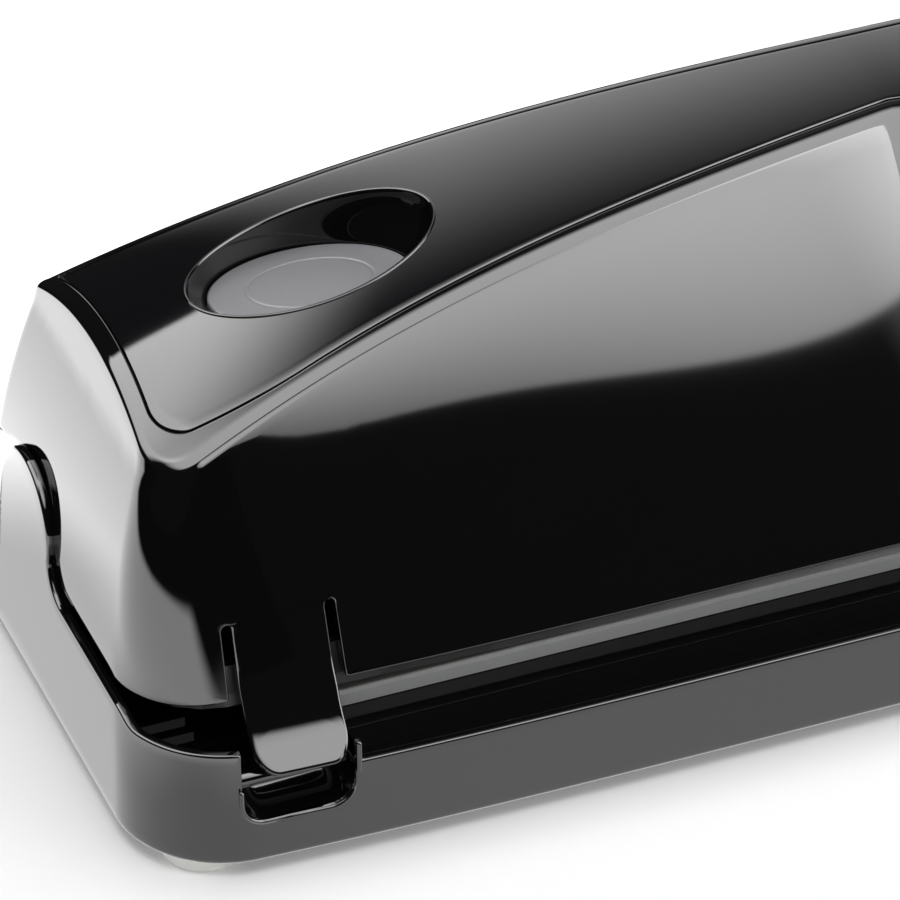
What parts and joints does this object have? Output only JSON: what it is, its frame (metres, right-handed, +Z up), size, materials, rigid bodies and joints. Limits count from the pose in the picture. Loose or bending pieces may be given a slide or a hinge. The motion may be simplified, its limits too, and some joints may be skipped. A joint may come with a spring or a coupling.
{
  "type": "vacuum packing machine",
  "caption": "Countertop bar machine that pulls air from a kitchen bag and welds it shut, with a hinged lid, flexing lock tabs at the front corners and pads sunk in its top.",
  "frame": {"origin": "on the table under the middle of the machine", "axes": "+X along the sealing bar to the right as seen from the front, -Y towards the front lip where the bag goes in, +Z up"},
  "size_m": [0.4, 0.1184, 0.1104],
  "materials": {
    "gloss_housing": "high gloss",
    "catch_bars": "gloss",
    "satin_panel": "fine satin grain",
    "pad_face": "satin",
    "signal_lens": "polished",
    "dull_moulding": "fine texture",
    "foam_seal": "closed cell foam",
    "silicone": "satin",
    "release_cloth": "woven and coated",
    "foot_rubber": "matt",
    "plated_steel": "plated",
    "pin_metal": "plated",
    "core_steel": "laminated",
    "winding": "enamelled copper",
    "laminate": "solder mask"
  },
  "bodies": {
    "base": {"base_shell": "gloss_housing", "base_deck": "gloss_housing", "lower_gasket": "foam_seal", "pressure_strip": "silicone", "catch_bar_left": "catch_bars", "catch_bar_right": "catch_bars", "hinge_pin_left": "plated_steel", "hinge_pin_right": "plated_steel", "foot_front_left": "foot_rubber", "foot_front_right": "foot_rubber", "foot_rear_left": "foot_rubber", "foot_rear_right": "foot_rubber"},
    "lid": {"lid_shell": "gloss_housing", "control_panel": "satin_panel", "signal_lens_inner": "signal_lens", "signal_lens_outer": "signal_lens", "chamber_plate": "dull_moulding", "upper_gasket": "foam_seal", "seal_bar": "dull_moulding", "heater_strip": "plated_steel", "release_tape": "release_cloth", "pump_motor": "plated_steel", "pump_head": "dull_moulding", "vacuum_hose": "silicone", "vent_valve": "dull_moulding", "transformer_core": "core_steel", "transformer_coil": "winding", "main_board": "laminate", "switch_board_left": "laminate", "switch_board_right": "laminate", "mains_inlet": "dull_moulding", "inlet_pin_left": "pin_metal", "inlet_pin_right": "pin_metal"},
    "tab_left": {"lock_tab_left": "gloss_housing"},
    "tab_right": {"lock_tab_right": "gloss_housing"},
    "pad_left": {"touch_pad_left": "pad_face"},
    "pad_right": {"touch_pad_right": "pad_face"}
  },
  "joints": [
    {"name": "lid_hinge", "type": "hinge", "parent": "base", "child": "lid", "pos_m": [0, 0.02575, 0.044], "axis": [-1, 0, 0], "range_deg": [0, 55]},
    {"name": "tab_flex_left", "type": "hinge", "parent": "lid", "child": "tab_left", "pos_m": [-0.166, -0.03934, 0.0517], "axis": [-1, 0, 0], "range_deg": [0, 12], "stiffness_Nm_per_rad": 0.4, "springref_deg": -2.29},
    {"name": "tab_flex_right", "type": "hinge", "parent": "lid", "child": "tab_right", "pos_m": [0.166, -0.03934, 0.0517], "axis": [-1, 0, 0], "range_deg": [0, 12], "stiffness_Nm_per_rad": 0.4, "springref_deg": -2.29},
    {"name": "pad_press_left", "type": "slide", "parent": "lid", "child": "pad_left", "axis": [0, 0, -1], "range_m": [0, 0.0015], "stiffness_N_per_m": 600, "springref_m": -0.0005},
    {"name": "pad_press_right", "type": "slide", "parent": "lid", "child": "pad_right", "axis": [0, 0, -1], "range_m": [0, 0.0015], "stiffness_N_per_m": 600, "springref_m": -0.0005}
  ]
}
